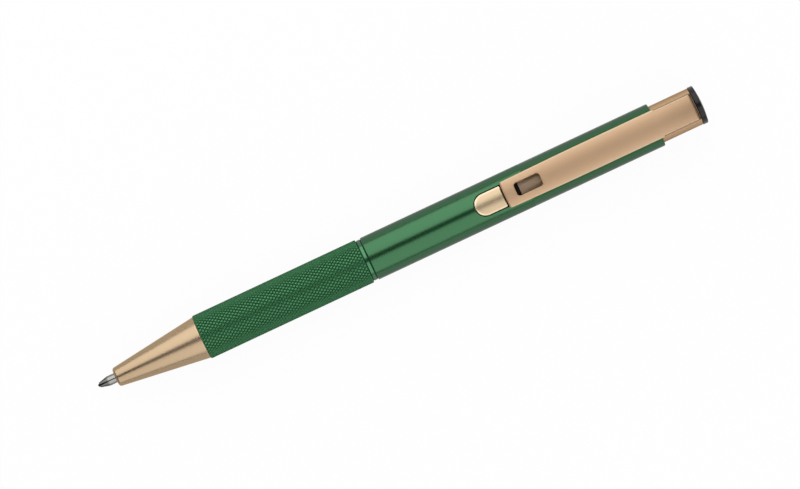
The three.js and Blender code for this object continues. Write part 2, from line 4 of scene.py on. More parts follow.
import bmesh
import bpy
import numpy as np
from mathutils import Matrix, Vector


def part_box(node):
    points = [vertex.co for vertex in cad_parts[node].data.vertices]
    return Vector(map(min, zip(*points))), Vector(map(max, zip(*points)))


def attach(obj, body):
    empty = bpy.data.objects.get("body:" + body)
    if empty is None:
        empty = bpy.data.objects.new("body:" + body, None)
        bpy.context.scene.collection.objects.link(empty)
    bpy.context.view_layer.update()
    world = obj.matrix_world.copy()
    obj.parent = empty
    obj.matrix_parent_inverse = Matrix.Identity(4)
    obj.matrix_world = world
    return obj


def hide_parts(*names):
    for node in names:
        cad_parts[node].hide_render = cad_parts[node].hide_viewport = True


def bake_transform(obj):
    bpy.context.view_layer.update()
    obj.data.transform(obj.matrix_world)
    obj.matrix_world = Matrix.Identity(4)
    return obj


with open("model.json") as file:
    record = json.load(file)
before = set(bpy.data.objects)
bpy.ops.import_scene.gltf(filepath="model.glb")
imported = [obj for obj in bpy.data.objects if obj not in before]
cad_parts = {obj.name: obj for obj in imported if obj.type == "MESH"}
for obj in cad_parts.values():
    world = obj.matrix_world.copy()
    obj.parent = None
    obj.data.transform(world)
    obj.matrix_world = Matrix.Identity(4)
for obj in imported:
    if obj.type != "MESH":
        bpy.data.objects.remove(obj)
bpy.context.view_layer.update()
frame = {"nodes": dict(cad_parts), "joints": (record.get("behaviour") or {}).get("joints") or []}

# Writing ball and point of the refill.
# A hard ground ball in the lip of a turned steel cone. The ball is pressed in from the
# front and the lip is rolled over it. A film of ink darkens the cone up to its neck.
MM = 0.001
grip_low, grip_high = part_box("grip_sleeve")

# Height of the pen's axis above the table
AXIS = (grip_low.z + grip_high.z) / 2


def rounded(corners, steps=6):
    """An outline of corners (x, radius, rounding). Each corner is swapped for the curve
    (1-t)^2 A + 2t(1-t) C + t^2 B, where A and B lie the rounding away from corner C on its
    two sides, and t runs from 0 to 1."""
    corners = np.asarray(corners, float)
    place, size = corners[:, :2], corners[:, 2:3]

    def towards(other):
        way = other - place
        return place + way / np.maximum(np.linalg.norm(way, axis=1, keepdims=True), 1e-9) * size

    before, after = towards(np.roll(place, 1, 0)), towards(np.roll(place, -1, 0))
    t = np.linspace(0, 1, steps + 1)[None, :, None]
    curve = ((1 - t) ** 2 * before[:, None] + 2 * t * (1 - t) * place[:, None]
             + t ** 2 * after[:, None])
    return curve.reshape(-1, 2)


def make_piece(name, vertices, faces, sharp=35):
    """A mesh object from a list of vertices and of faces. Vertices that fall together, at
    poles and seams, are merged, and edges sharper than the angle stay crisp."""
    mesh = bpy.data.meshes.new(name)
    mesh.from_pydata(np.asarray(vertices, float).reshape(-1, 3).tolist(), [], faces)
    work = bmesh.new()
    work.from_mesh(mesh)
    bmesh.ops.remove_doubles(work, verts=work.verts, dist=1e-7)
    work.to_mesh(mesh)
    work.free()
    mesh.shade_smooth()
    mesh.set_sharp_from_angle(angle=math.radians(sharp))
    piece = bpy.data.objects.new(name, mesh)
    bpy.context.scene.collection.objects.link(piece)
    return piece


def grid_faces(rows, columns, wrap_rows, wrap_columns):
    """Quads of a grid of rows x columns points, as a list. The first side of each runs along
    the rows' direction, so a face points along d(row) x d(column)."""
    i = np.arange(rows if wrap_rows else rows - 1)[:, None]
    j = np.arange(columns if wrap_columns else columns - 1)[None, :]
    after_i, after_j = (i + 1) % rows, (j + 1) % columns
    quads = np.stack([i * columns + j, after_i * columns + j,
                      after_i * columns + after_j, i * columns + after_j], -1)
    return quads.reshape(-1, 4).tolist()


def turned(name, outline, closed, around=192):
    """An outline (x, radius) turned about the pen's axis: at angle a its point lies at
    (x, radius sin a, AXIS + radius cos a)."""
    outline = np.asarray(outline, float)
    a = np.arange(around)[None, :] * 2 * np.pi / around
    x, radius = outline[:, :1], outline[:, 1:]
    points = np.stack([x + 0 * a, radius * np.sin(a), AXIS + radius * np.cos(a)], -1)
    return make_piece(name, points, grid_faces(len(outline), around, closed, True))


class Value:
    """A socket that gives a number in a material. The signs + * ** on it add Math nodes."""

    def __init__(self, finish, socket):
        self.finish, self.socket = finish, socket

    def result(self, operation, first, second):
        node = self.finish.add("ShaderNodeMath", {"operation": operation}, {0: first, 1: second})
        return Value(self.finish, node.outputs[0])

    def __add__(self, other):
        return self.result("ADD", self, other)

    def __radd__(self, other):
        return self.result("ADD", other, self)

    def __mul__(self, other):
        return self.result("MULTIPLY", self, other)

    def __rmul__(self, other):
        return self.result("MULTIPLY", other, self)

    def __pow__(self, other):
        return self.result("POWER", self, other)


class Finish:
    """A finish under work: one shader with its colour, roughness and metal, and a method
    that adds any node."""

    def __init__(self, name, colour, roughness, metallic):
        self.material = bpy.data.materials.new(name)
        self.material.use_nodes = True
        self.tree = self.material.node_tree
        self.shader = self.tree.nodes["Principled BSDF"]
        self.put(self.shader, {"Base Color": (*colour, 1), "Roughness": roughness,
                               "Metallic": metallic})

    def put(self, node, sockets):
        for key, value in sockets.items():
            if isinstance(value, Value):
                self.tree.links.new(value.socket, node.inputs[key])
            elif isinstance(value, bpy.types.NodeSocket):
                self.tree.links.new(value, node.inputs[key])
            else:
                node.inputs[key].default_value = value

    def add(self, kind, settings, sockets):
        node = self.tree.nodes.new(kind)
        for key, value in settings.items():
            setattr(node, key, value)
        self.put(node, sockets)
        return node

    def grain(self, scale, detail=2.0, rough=0.5):
        """Noise from 0 to 1 on the object's own coordinates, each stretched by scale, in
        cycles per metre."""
        place = self.add("ShaderNodeTexCoord", {}, {}).outputs["Object"]
        mapped = self.add("ShaderNodeMapping", {}, {"Vector": place, "Scale": scale})
        noise = self.add("ShaderNodeTexNoise", {}, {
            "Vector": mapped.outputs[0], "Scale": 1.0, "Detail": detail, "Roughness": rough})
        return Value(self, noise.outputs[0])

    def ramp(self, axis, start, end):
        """0 to 1 as the object's own coordinate, 0, 1 or 2 for x, y or z, goes from start
        to end, and level beyond them."""
        place = self.add("ShaderNodeTexCoord", {}, {}).outputs["Object"]
        along = self.add("ShaderNodeSeparateXYZ", {}, {0: place}).outputs[axis]
        node = self.add("ShaderNodeMapRange", {}, {
            "Value": along, "From Min": start, "From Max": end})
        return Value(self, node.outputs[0])

    def mark(self, name):
        """The number that the mesh of the piece carries at each point under a name."""
        node = self.add("ShaderNodeAttribute", {"attribute_name": name}, {})
        return Value(self, node.outputs["Fac"])

    def blend(self, factor, first, second):
        """A colour from first to second as factor goes from 0 to 1."""
        node = self.add("ShaderNodeMix", {"data_type": "RGBA"}, {0: factor})
        for key, colour in ((6, first), (7, second)):
            self.put(node, {key: (*colour, 1) if isinstance(colour, tuple) else colour})
        return node.outputs[2]

    def vary(self, colour, roughness, factor, height=None, depth=0.0):
        """Colour and roughness run between their two values as factor goes from 0 to 1, and
        height, times depth in metres, is a fine relief."""
        self.put(self.shader, {"Base Color": self.blend(factor, *colour),
                               "Roughness": roughness[0] + factor * (roughness[1] - roughness[0])})
        if height is not None:
            bump = self.add("ShaderNodeBump", {}, {"Height": height, "Distance": depth,
                                                   "Strength": 1.0})
            self.put(self.shader, {"Normal": bump.outputs[0]})
        return self

    def cover(self, *pieces):
        for piece in pieces:
            piece.data.materials.clear()
            piece.data.materials.append(self.material)


def half_width(name):
    """Half of a node's width across the pen, which is the radius of a turned one."""
    low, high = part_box(name)
    return (high.y - low.y) / 2


ball_low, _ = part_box("writing_ball")
ball_radius = half_width("writing_ball")
point_low, point_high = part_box("point_body")
point_radius = half_width("point_body")
CONE_LENGTH = 2.45 * MM
CONE_BULGE = 0.02 * MM
LIP_RADIUS = 0.52 * MM
LIP_FIT = 0.03 * MM
SOCKET_DEPTH = 0.06 * MM
SOCKET_SHARE = 0.9
NECK_GROOVE = 3.3 * MM
NECK_GROOVE_WIDTH = 0.12 * MM
NECK_GROOVE_DEPTH = 0.03 * MM
POINT_SPIGOT = 2.2 * MM
INK_FILM = 2.6 * MM
INK_FILM_FADE = 0.5 * MM

# Inside the point the ball is cut flat, where the line to its middle stands at 60 degrees
turn = np.linspace(np.pi, np.pi / 3, 24)
ball_x = ball_low.x + ball_radius * (1 + np.cos(turn))
ball_outline = np.stack([ball_x, ball_radius * np.sin(turn)], -1)
ball = turned("ball", np.vstack([ball_outline, [[ball_x[-1], 0]]]), False, 96)

share = np.linspace(0, 1, 20)
cone_x = point_low.x + share * (ball_low.x + CONE_LENGTH - point_low.x)
cone_radius = (LIP_RADIUS + (point_radius - LIP_RADIUS) * share
               + CONE_BULGE * 4 * share * (1 - share))
socket_x = point_low.x + SOCKET_DEPTH
groove_front = point_low.x + NECK_GROOVE
groove_rear = groove_front + NECK_GROOVE_WIDTH
spigot_x = point_high.x - POINT_SPIGOT
point = turned("point", np.vstack([
    [[socket_x, 0], [socket_x, ball_radius * SOCKET_SHARE], [point_low.x, ball_radius + LIP_FIT]],
    np.stack([cone_x, np.minimum(cone_radius, point_radius)], -1),
    [[groove_front, point_radius], [groove_front, point_radius - NECK_GROOVE_DEPTH],
     [groove_rear, point_radius - NECK_GROOVE_DEPTH], [groove_rear, point_radius],
     [spigot_x, point_radius], [spigot_x, 0]],
]), False, 128)

inked_ball = Finish("inked_ball", (0.03, 0.03, 0.035), 0.16, 1.0)
smear = inked_ball.grain((9000, 9000, 9000))
inked_ball.vary(((0.004, 0.004, 0.006), (0.03, 0.03, 0.035)), (0.12, 0.3), smear)
inked_ball.cover(ball)

turned_steel = Finish("turned_steel", (0.26, 0.255, 0.24), 0.16, 1.0)
rings = turned_steel.grain((26000, 500, 500), 3.0)
stained = turned_steel.ramp(0, ball_low.x + INK_FILM, ball_low.x + INK_FILM - INK_FILM_FADE)
turned_steel.vary((turned_steel.blend(stained, (0.24, 0.235, 0.22), (0.1, 0.1, 0.095)),
                   turned_steel.blend(stained, (0.29, 0.285, 0.265), (0.13, 0.13, 0.12))),
                  (0.06, 0.12), rings, rings, 0.0005 * MM)
turned_steel.put(turned_steel.shader, {"Specular Tint": (0.35, 0.35, 0.33, 1)})
turned_steel.cover(point)

for piece, node, slot in ((ball, "writing_ball", "ball"), (point, "point_body", "point_steel")):
    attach(piece, "refill")
    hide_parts(node)

# Ink tube with its holder, collar, plug and ink.
# Drawn brass tube on a turned brass holder, with the collar crimped on for the spring.
# They stay inside the pen, so the CAD solids are kept and get their finishes here.
drawn_brass = Finish("drawn_brass", (0.6, 0.42, 0.18), 0.3, 1.0)
draw = drawn_brass.grain((900, 12000, 12000), 3.0)
drawn_brass.vary(((0.5, 0.35, 0.14), (0.68, 0.5, 0.24)), (0.24, 0.42), draw, draw, 0.002 * MM)
drawn_brass.cover(*(frame["nodes"][name] for name in (
    "point_holder", "refill_tube", "refill_collar")))

ink_paste = Finish("ink_paste", (0.004, 0.01, 0.06), 0.25, 0.0)
paste = ink_paste.grain((700, 700, 700))
ink_paste.vary(((0.003, 0.008, 0.05), (0.008, 0.018, 0.1)), (0.2, 0.4), paste)
ink_paste.cover(frame["nodes"]["ink_column"])

moulded_black = Finish("moulded_black", (0.012, 0.012, 0.014), 0.3, 0.0)
flow = moulded_black.grain((1500, 1500, 1500), 4.0)
moulded_black.vary(((0.009, 0.009, 0.011), (0.018, 0.018, 0.02)), (0.24, 0.36), flow,
                   flow, 0.003 * MM)
moulded_black.cover(frame["nodes"]["refill_end_plug"], frame["nodes"]["thrust_plug"])

# Return spring.
# Round steel wire wound about the ink tube. Its front end stays on the nose's seat and
# its rear end follows the refill's collar.
WIRE = 0.4 * MM
TURNS = 11
TURN_STEPS = 32
WIRE_SIDES = 12


def ringed_faces(rings, size):
    """Faces of a solid made of closed rings: the quads between them, and a flat face on the
    first and on the last ring."""
    last = rings * size - 1
    ends = [list(range(size)), list(range(last, last - size, -1))]
    return grid_faces(rings, size, False, True) + ends


# A ring of the wire's outline leans by the coil's pitch at each step of the helix
spring_low, spring_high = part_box("return_spring")
spring_radius = half_width("return_spring") - WIRE / 2
along = np.linspace(0, 1, TURNS * TURN_STEPS + 1)[:, None]
phase = 2 * np.pi * TURNS * along
round_wire = np.linspace(0, 2 * np.pi, WIRE_SIDES + 1)[None, :-1]
coil_x = spring_low.x + WIRE / 2 + (spring_high.x - spring_low.x - WIRE) * along
pitch_angle = math.atan((spring_high.x - spring_low.x) / (TURNS * 2 * np.pi * spring_radius))
out = spring_radius + WIRE / 2 * np.cos(round_wire)
aside = WIRE / 2 * np.sin(round_wire)
spring_points = np.stack([
    coil_x + aside * math.cos(pitch_angle),
    out * np.cos(phase) + aside * math.sin(pitch_angle) * np.sin(phase),
    AXIS + out * np.sin(phase) - aside * math.sin(pitch_angle) * np.cos(phase)], -1)
spring = make_piece("spring", spring_points, ringed_faces(*spring_points.shape[:2]), 60)
spring_wire = Finish("spring_wire", (0.5, 0.5, 0.5), 0.3, 1.0)
drag = spring_wire.grain((4000, 4000, 4000), 3.0)
spring_wire.vary(((0.38, 0.38, 0.39), (0.6, 0.6, 0.6)), (0.24, 0.4), drag)
spring_wire.cover(spring)
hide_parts("return_spring")

# Nose cone.
# Turned from brass, blasted very fine and plated satin gold. A straight cone whose front
# is rounded round the point's bore. Its rear end stands a little below the grip, and its
# edge there is painted bright, a painted highlight. The gold is also painted lighter from
# the front towards the rear, painted light.
NOSE_FRONT_RADIUS = 2.05 * MM
NOSE_ROUNDING = 0.6 * MM
NOSE_CHAMFER = 0.08 * MM
NOSE_CHAMFER_EDGE = 0.03 * MM
POINT_FIT = 0.12 * MM
BORE_EDGE = 0.05 * MM
SPRING_BORE = 2.32 * MM
SPRING_SEAT = 5.45 * MM
GRIP_WALL = 0.85 * MM
SPIGOT_FIT = 0.04 * MM
SPIGOT_EDGE = 0.2 * MM
REAR_HIGHLIGHT_START = 0.34 * MM
REAR_HIGHLIGHT_FULL = 0.2 * MM
nose_low, nose_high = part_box("nose_cone")
nose_radius = half_width("nose_cone")
nose_bore = point_radius + POINT_FIT
grip_radius = half_width("grip_sleeve")
spigot_radius = grip_radius - GRIP_WALL - SPIGOT_FIT
nose = turned("nose", rounded([
    (nose_low.x, nose_bore, BORE_EDGE),
    (nose_low.x, NOSE_FRONT_RADIUS, NOSE_ROUNDING),
    (grip_low.x - NOSE_CHAMFER, nose_radius, NOSE_CHAMFER_EDGE),
    (grip_low.x, nose_radius - NOSE_CHAMFER, NOSE_CHAMFER_EDGE),
    (grip_low.x, spigot_radius, 0),
    (nose_high.x, spigot_radius, SPIGOT_EDGE),
    (nose_high.x, SPRING_BORE, 0),
    (nose_low.x + SPRING_SEAT, SPRING_BORE, 0),
    (nose_low.x + SPRING_SEAT, nose_bore, 0),
]), True, 256)
satin_gold = Finish("satin_gold", (0.37, 0.27, 0.173), 0.3, 1.0)
turning = satin_gold.grain((9000, 260, 260), 4.0, 0.6)
# The nose's rear edge is painted much lighter, a painted highlight
rear_edge_highlight = satin_gold.ramp(0, grip_low.x - REAR_HIGHLIGHT_START, grip_low.x - REAR_HIGHLIGHT_FULL)
# The gold is painted lighter from the front towards the rear, painted light
rearward_painted_light = satin_gold.ramp(0, nose_low.x, grip_low.x)
front_gold = satin_gold.blend(rear_edge_highlight, (0.35, 0.255, 0.158), (0.62, 0.42, 0.28))
satin_gold.vary((front_gold, (0.402, 0.294, 0.19)), (0.26, 0.32),
                turning * 0.4 + rearward_painted_light * 0.6, turning, 0.001 * MM)
satin_gold.put(satin_gold.shader, {"Specular Tint": (1.0, 0.85, 0.68, 1)})
satin_gold.cover(nose)
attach(nose, "barrel")
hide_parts("nose_cone")

# Grip sleeve.
# Aluminium tube, rolled with a fine diamond knurl and anodised green after it. Each
# diamond has a flat top and four steep flanks, and the chamfers at the ends cut through.
KNURLS_AROUND = 40
LEFT_PITCH = 1.034 * MM
RIGHT_PITCH = 1.146 * MM
KNURL_DEPTH = 0.13 * MM
KNURL_FLANK = 0.24
KNURL_PHASE = 0.31
KNURL_CREASE = 30
SPARE_ROWS = 2
GRIP_CHAMFER = 0.1 * MM
knurl_start, knurl_end = grip_low.x + GRIP_CHAMFER, grip_high.x - GRIP_CHAMFER

# The two rollers cut left and right spirals of slightly different pitch, so the diamonds of
# one row stand a little off the middle between those of the row before. One diamond has
# 4 x 4 points, where p and q run from 0 to 1 across its two pairs of flanks. Its height is
# the lower of the two profiles 0, 1, 1, 0 along p and along q. Spare rows stand over both
# ends
row_step = LEFT_PITCH * RIGHT_PITCH / (LEFT_PITCH + RIGHT_PITCH)
row_shift = LEFT_PITCH / (LEFT_PITCH + RIGHT_PITCH)
row_count = int((knurl_end - knurl_start) / row_step) + 2 * SPARE_ROWS + 1
across = np.array([0, KNURL_FLANK, 1 - KNURL_FLANK, 1])
p, q = np.meshgrid(across, across, indexing="ij")
profile = np.array([0, 1, 1, 0])
diamond_height = np.minimum.outer(profile, profile)
row = np.repeat(np.arange(row_count) - SPARE_ROWS, KNURLS_AROUND)[:, None, None] + p + q
column = np.tile(np.arange(KNURLS_AROUND), row_count)[:, None, None] + q
knurl_a = (column - row * row_shift) * 2 * np.pi / KNURLS_AROUND
knurl_x = knurl_start + (row - KNURL_PHASE) * row_step
knurl_r = grip_radius - KNURL_DEPTH * (1 - diamond_height)
knurl_points = np.stack([
    knurl_x, knurl_r * np.sin(knurl_a), AXIS + knurl_r * np.cos(knurl_a)], -1)

# Each corner square of a diamond is folded along its ridge, and the other five are flat
corner_faces = [[0, 4, 5], [0, 5, 1], [8, 12, 9], [12, 13, 9],
                [3, 2, 6], [3, 6, 7], [15, 11, 10], [15, 10, 14]]
flat_faces = [[4, 8, 9, 5], [1, 5, 6, 2], [9, 13, 14, 10], [6, 10, 11, 7], [5, 9, 10, 6]]
knurl_faces = [
    [start + corner for corner in face]
    for start in range(0, knurl_a.size, p.size) for face in corner_faces + flat_faces]
grip = make_piece("grip", knurl_points, knurl_faces, KNURL_CREASE)

# The diamonds are cut off at both ends, and each open edge runs in over the chamfer and
# the end face to the bore, and along the bore to the other end
work = bmesh.new()
work.from_mesh(grip.data)
for cut_x, inner in ((knurl_start, True), (knurl_end, False)):
    bmesh.ops.bisect_plane(
        work, geom=work.verts[:] + work.edges[:] + work.faces[:], dist=1e-8,
        plane_co=(cut_x, 0, 0), plane_no=(1, 0, 0), clear_inner=inner, clear_outer=not inner)


def run_in(edges, x, radius):
    """New faces from an open edge round the pen to a ring of the same count at x, radius."""
    grown = bmesh.ops.extrude_edge_only(work, edges=edges)["geom"]
    for vert in (part for part in grown if isinstance(part, bmesh.types.BMVert)):
        scale = radius / math.hypot(vert.co.y, vert.co.z - AXIS)
        vert.co = (x, vert.co.y * scale, AXIS + (vert.co.z - AXIS) * scale)
    return [part for part in grown if isinstance(part, bmesh.types.BMEdge) and part.is_boundary]


open_edges = [edge for edge in work.edges if edge.is_boundary]
bore_ends = []
for edge_x, end_x in ((knurl_start, grip_low.x), (knurl_end, grip_high.x)):
    ring = [edge for edge in open_edges if abs(edge.verts[0].co.x - edge_x) < 1e-6]
    ring = run_in(ring, end_x, grip_radius - GRIP_CHAMFER)
    bore_ends += run_in(ring, end_x, grip_radius - GRIP_WALL)
bmesh.ops.bridge_loops(work, edges=bore_ends)
bmesh.ops.recalc_face_normals(work, faces=work.faces)
work.to_mesh(grip.data)
work.free()
grip.data.set_sharp_from_angle(angle=math.radians(KNURL_CREASE))


def mark(piece, name, values):
    """The mesh keeps a number for each of its points under a name, for its finish to read."""
    layer = piece.data.attributes.new(name, "FLOAT", "POINT")
    layer.data.foreach_set("value", values.astype(np.float32))


grip_points = np.empty(len(grip.data.vertices) * 3)
grip.data.vertices.foreach_get("co", grip_points)
grip_points = grip_points.reshape(-1, 3)
from_axis = np.hypot(grip_points[:, 1], grip_points[:, 2] - AXIS)
mark(grip, "ridge", np.clip(1 - (grip_radius - from_axis) / KNURL_DEPTH, 0, 1))

knurled_green = Finish("knurled_green", (0.03, 0.12, 0.05), 0.35, 1.0)
# The diamond tops are painted lighter than the grooves, painted shade in the knurl's hollows
tips = knurled_green.mark("ridge") ** 2.0
knurl_grain = knurled_green.grain((3000, 3000, 3000), 3.0)
knurled_green.vary(((0.036, 0.142, 0.059), (0.047, 0.172, 0.074)), (0.5, 0.4),
                   tips * 0.85 + knurl_grain * 0.15, knurl_grain, 0.002 * MM)
knurled_green.put(knurled_green.shader, {
    "Specular Tint": (0.0, 0.0, 0.0, 1), "Coat Weight": 0.2, "Coat Roughness": 0.3})
knurled_green.cover(grip)
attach(grip, "barrel")
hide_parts("grip_sleeve")

# Ring between the two halves of the barrel.
# A thin turned ring set a little lower than the barrel, with a narrow groove before and
# behind it. Its green is painted lighter than the barrel's, a painted highlight. The coupler
# that screws the halves together shows as the grooves' floor, painted dark as painted shade
# in the grooves.
RING_WALL = 0.25 * MM
RING_EDGE = 0.06 * MM
GREEN_TINT = (0.35, 0.35, 0.35, 1)
ring_low, ring_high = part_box("centre_ring")
ring_radius = half_width("centre_ring")
ring = turned("ring", rounded([
    (ring_low.x, ring_radius - RING_WALL, 0), (ring_low.x, ring_radius, RING_EDGE),
    (ring_high.x, ring_radius, RING_EDGE), (ring_high.x, ring_radius - RING_WALL, 0),
]), True, 256)
# Lighter than the barrel's green, a painted highlight on the ring
turned_green = Finish("turned_green", (0.026, 0.14, 0.053), 0.24, 1.0)
turning_marks = turned_green.grain((9000, 240, 240), 4.0, 0.6)
turned_green.vary(((0.022, 0.13, 0.048), (0.032, 0.155, 0.062)), (0.22, 0.28),
                  turning_marks, turning_marks, 0.0005 * MM)
turned_green.put(turned_green.shader, {
    "Specular Tint": GREEN_TINT, "Coat Weight": 0.8, "Coat Roughness": 0.2})
turned_green.cover(ring)
# The coupler is painted dark, painted shade in the grooves beside the ring
dull_green = Finish("dull_green", (0.012, 0.045, 0.02), 0.55, 1.0)
cutter_marks = dull_green.grain((9000, 300, 300), 3.0)
dull_green.vary(((0.01, 0.04, 0.018), (0.016, 0.055, 0.025)), (0.5, 0.6),
                cutter_marks, cutter_marks, 0.003 * MM)
dull_green.cover(frame["nodes"]["barrel_coupler"])
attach(ring, "barrel")
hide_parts("centre_ring")

# Upper barrel.
# Drawn aluminium tube, milled with the button's opening and the narrower slot behind it,
# then brushed and anodised satin green. The opening's upper edge is lightly deburred.
BARREL_WALL = 0.62 * MM
BARREL_CHAMFER = 0.1 * MM
DEBURR = 0.05 * MM
BUTTON_GAP = 0.2 * MM
SLOT_HALF = 1.6 * MM
OPENING_MARGIN = 0.35 * MM
OPENING_NARROWS = 0.3 * MM
PLAIN_LENGTH = 10 * MM
barrel_low, barrel_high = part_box("upper_barrel")
barrel_radius = half_width("upper_barrel")
button_low, button_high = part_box("release_button")
button_half = half_width("release_button")
stroke = frame["joints"][0]["range_m"][1]
opening_half = button_half + BUTTON_GAP
opening_front = button_low.x - BUTTON_GAP
opening_rear = button_high.x + stroke + OPENING_MARGIN


def slotted_tube(name, outer, rim, inner, columns):
    """A tube along x with an opening on top. outer, rim and inner have one row (x, radius,
    half width of the opening) for each station: the skins run round from the angle
    asin(half / radius) to the same angle on the other side, and the rim joins them."""
    u = np.linspace(0, 1, columns + 1)[None, :]

    def skin(rows):
        x, radius, half = (rows[:, k:k + 1] for k in range(3))
        edge = np.arcsin(half / radius)
        a = edge + u * (2 * np.pi - 2 * edge)
        return np.stack([x + 0 * a, radius * np.sin(a), AXIS + radius * np.cos(a)], -1)

    count = len(outer)
    ledge = np.stack([rim[:, 0], rim[:, 2], AXIS + np.sqrt(rim[:, 1] ** 2 - rim[:, 2] ** 2)], -1)
    skins = [skin(rows).reshape(-1, 3) for rows in (outer, inner)]
    points = np.vstack([*skins, ledge, ledge * (1, -1, 1)])
    step, below = columns + 1, count * (columns + 1)
    skin_faces = np.array(grid_faces(count, step, False, False))
    apex = int(np.flatnonzero(rim[:, 2])[0]) - 1
    k = np.arange(apex, count - 1)
    j = np.arange(columns)
    last = (count - 1) * step
    left, right = 2 * below + k, 2 * below + count + k
    quads = [
        skin_faces, skin_faces[:, ::-1] + below,
        np.stack([left, left + 1, (k + 1) * step, k * step], -1),
        np.stack([k * step + below, (k + 1) * step + below, left + 1, left], -1),
        np.stack([right + 1, right, k * step + columns, (k + 1) * step + columns], -1),
        np.stack([(k + 1) * step + columns + below, k * step + columns + below,
                  right, right + 1], -1),
        np.stack([j, j + 1, j + 1 + below, j + below], -1),
        np.stack([last + j + 1, last + j, last + j + below, last + j + 1 + below], -1),
    ]
    ends = [[2 * below + count - 1, last + below, last],
            [2 * below + 2 * count - 1, last + columns, last + columns + below]]
    return make_piece(name, points, np.vstack(quads).tolist() + ends, 40)


def opening(grow):
    """Stations and half widths of the barrel with its opening grown by a margin: a half
    circle in front, straight sides to the rear of the opening, and a slot from there."""
    half = opening_half + grow
    bend = np.linspace(0, np.pi / 2, 28)
    plain = barrel_low.x + np.array([0, BARREL_CHAMFER, PLAIN_LENGTH])
    slot = [opening_rear, barrel_high.x - BARREL_CHAMFER, barrel_high.x]
    x = np.concatenate([plain, opening_front - grow + half * (1 - np.cos(bend)),
                        [opening_rear - OPENING_NARROWS], slot])
    wide = np.concatenate([0 * plain, half * np.sin(bend),
                           [half], np.full(len(slot), SLOT_HALF + grow)])
    return x, wide


outer_x, outer_half = opening(DEBURR)
inner_x, inner_half = opening(0)
from_end = np.minimum(outer_x - barrel_low.x, barrel_high.x - outer_x)
outer_radius = barrel_radius - np.clip(BARREL_CHAMFER - from_end, 0, None)
barrel = slotted_tube(
    "barrel", np.stack([outer_x, outer_radius, outer_half], -1),
    np.stack([inner_x, outer_radius - DEBURR, inner_half], -1),
    np.stack([inner_x, np.full_like(inner_x, barrel_radius - BARREL_WALL), inner_half], -1), 320)
satin_green = Finish("satin_green", (0.018, 0.104, 0.035), 0.26, 1.0)
brushing = satin_green.grain((7000, 240, 240), 4.0, 0.6)
satin_green.vary(((0.016, 0.098, 0.032), (0.02, 0.108, 0.038)), (0.26, 0.31),
                 brushing, brushing, 0.0005 * MM)
satin_green.put(satin_green.shader, {
    "Specular Tint": GREEN_TINT, "Coat Weight": 0.65, "Coat Roughness": 0.2})
satin_green.cover(barrel)
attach(barrel, "barrel")
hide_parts("upper_barrel")

# Plunger.
# Brass tube that slides in the barrel, blasted matte and plated rose gold like the clip. A
# narrow groove runs along each side of the clip's foot, which is let into the tube, and a
# flat is milled on its roof, under the clip's window. The roof is painted darker, painted
# shade for the floor seen through the window.
PLUNGER_WALL = 0.6 * MM
PLUNGER_ROUNDING = 0.2 * MM
PLUNGER_CHAMFER = 0.16 * MM
PLUNGER_CHAMFER_EDGE = 0.04 * MM
FOOT_HALF = 2.9 * MM
FOOT_GAP = 0.25 * MM
GROOVE_WIDTH = 0.1 * MM
GROOVE_LAP = 0.15 * MM
GROOVE_FLOOR = 2.68 * MM
ROOF_FLAT = 3.86 * MM
ROOF_FLAT_LENGTH = 5.6 * MM
ROOF_FLAT_HALF = 2 * MM
ROOF_SHADE_START = 3.5 * MM
ROOF_SHADE_FULL = 3.7 * MM
GOLD_TINT = (0.5, 0.38, 0.26, 1)
plunger_low, plunger_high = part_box("plunger_body")
plunger_radius = half_width("plunger_body")
plunger_bore = plunger_radius - PLUNGER_WALL
clip_low, clip_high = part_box("clip")
foot_front = barrel_high.x + FOOT_GAP
plunger = turned("plunger", rounded([
    (plunger_low.x, plunger_bore, 0), (plunger_low.x, plunger_radius, PLUNGER_ROUNDING),
    (plunger_high.x - PLUNGER_CHAMFER, plunger_radius, PLUNGER_CHAMFER_EDGE),
    (plunger_high.x, plunger_radius - PLUNGER_CHAMFER, PLUNGER_CHAMFER_EDGE),
    (plunger_high.x, plunger_bore, 0),
]), True, 256)


def prism(name, plan, low, high, upright=True):
    """A solid between two heights over a plan, a list of points (x, y) that runs
    anticlockwise seen from above. One that isn't upright lies on its side: its plan is a
    list of points (x, z), and it reaches from -high to -low along y."""
    plan = np.asarray(plan, float)
    count = len(plan)
    points = np.vstack([
        np.column_stack([plan, np.full(count, height)]) for height in (low, high)])
    if not upright:
        points = points[:, [0, 2, 1]] * (1, -1, 1)
    sides = [[k, (k + 1) % count, (k + 1) % count + count, k + count] for k in range(count)]
    ends = [list(range(count))[::-1], list(range(count, 2 * count))]
    return make_piece(name, points, sides + ends)


def strip(front, rear, left, right):
    """The plan of a block between two stations along the pen and two places across it."""
    return [(front, left), (rear, left), (rear, right), (front, right)]


def combine(piece, other, operation):
    """The piece cut by the other solid, or joined with it. The other solid goes away."""
    change = piece.modifiers.new("change", "BOOLEAN")
    change.operation, change.solver, change.object = operation, "EXACT", other
    bpy.context.view_layer.update()
    changed = piece.evaluated_get(bpy.context.evaluated_depsgraph_get())
    result = bpy.data.meshes.new_from_object(changed)
    piece.modifiers.clear()
    piece.data = result
    bpy.data.objects.remove(other)


